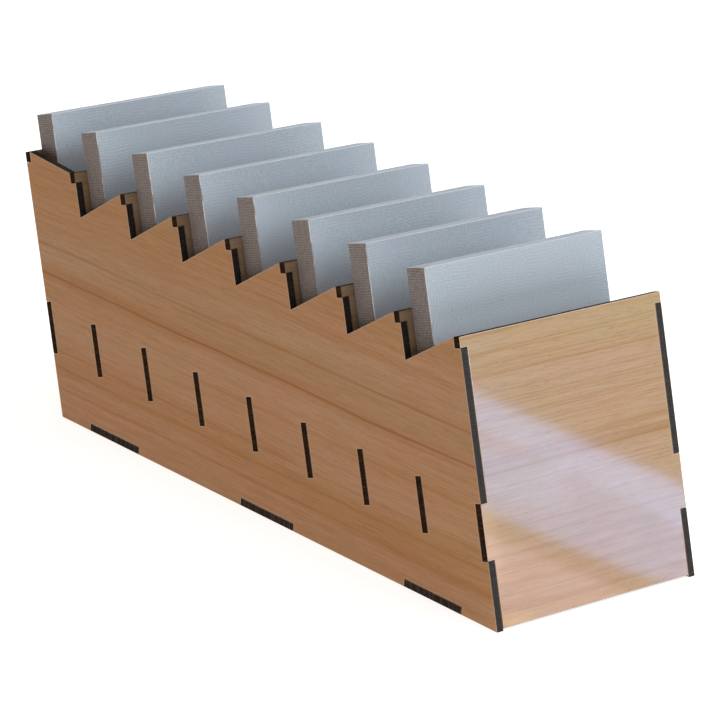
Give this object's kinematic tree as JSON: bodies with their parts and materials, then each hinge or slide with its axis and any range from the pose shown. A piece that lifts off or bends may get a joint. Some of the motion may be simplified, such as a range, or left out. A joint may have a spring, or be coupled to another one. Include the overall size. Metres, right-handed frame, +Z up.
{
  "type": "board game card organizer insert",
  "caption": "Laser-cut wooden card tray for a board game box: saw-toothed sides and leaning compartments, each holding a deck of sleeved cards that lifts out.",
  "frame": {"origin": "middle of the whole part's box, on the surface the tray stands on", "axes": "+X from the back panel towards the front panel along the base, +Y towards the right side panel as seen from the front, +Z up"},
  "size_m": [0.2194, 0.0746, 0.0902],
  "materials": {
    "side_plywood": "satin orange-brown veneer with long grain, laser-charred edges",
    "front_plywood": "satin light tan veneer with long grain across the panel, laser-charred edges",
    "cross_plywood": "satin brown veneer, laser-charred edges",
    "base_plywood": "satin brown veneer, laser-charred edges",
    "card_stock": "matte pale blue-grey card with a fine linen texture, warm grey cut edges"
  },
  "bodies": {
    "tray": {"left_side_panel": "side_plywood", "right_side_panel": "side_plywood", "bottom_panel": "base_plywood", "back_panel": "cross_plywood", "divider_1": "cross_plywood", "divider_2": "cross_plywood", "divider_3": "cross_plywood", "divider_4": "cross_plywood", "divider_5": "cross_plywood", "divider_6": "cross_plywood", "divider_7": "cross_plywood", "front_panel": "front_plywood"},
    "deck_1": {"card_deck_1": "card_stock"},
    "deck_2": {"card_deck_2": "card_stock"},
    "deck_3": {"card_deck_3": "card_stock"},
    "deck_4": {"card_deck_4": "card_stock"},
    "deck_5": {"card_deck_5": "card_stock"},
    "deck_6": {"card_deck_6": "card_stock"},
    "deck_7": {"card_deck_7": "card_stock"},
    "deck_8": {"card_deck_8": "card_stock"}
  },
  "joints": [
    {"name": "deck_1_lift", "type": "slide", "parent": "tray", "child": "deck_1", "axis": [-0.284, 0, 0.9588], "range_m": [0, 0.092]},
    {"name": "deck_2_lift", "type": "slide", "parent": "tray", "child": "deck_2", "axis": [-0.284, 0, 0.9588], "range_m": [0, 0.092]},
    {"name": "deck_3_lift", "type": "slide", "parent": "tray", "child": "deck_3", "axis": [-0.284, 0, 0.9588], "range_m": [0, 0.092]},
    {"name": "deck_4_lift", "type": "slide", "parent": "tray", "child": "deck_4", "axis": [-0.284, 0, 0.9588], "range_m": [0, 0.092]},
    {"name": "deck_5_lift", "type": "slide", "parent": "tray", "child": "deck_5", "axis": [-0.284, 0, 0.9588], "range_m": [0, 0.092]},
    {"name": "deck_6_lift", "type": "slide", "parent": "tray", "child": "deck_6", "axis": [-0.284, 0, 0.9588], "range_m": [0, 0.092]},
    {"name": "deck_7_lift", "type": "slide", "parent": "tray", "child": "deck_7", "axis": [-0.284, 0, 0.9588], "range_m": [0, 0.092]},
    {"name": "deck_8_lift", "type": "slide", "parent": "tray", "child": "deck_8", "axis": [-0.284, 0, 0.9588], "range_m": [0, 0.092]}
  ]
}
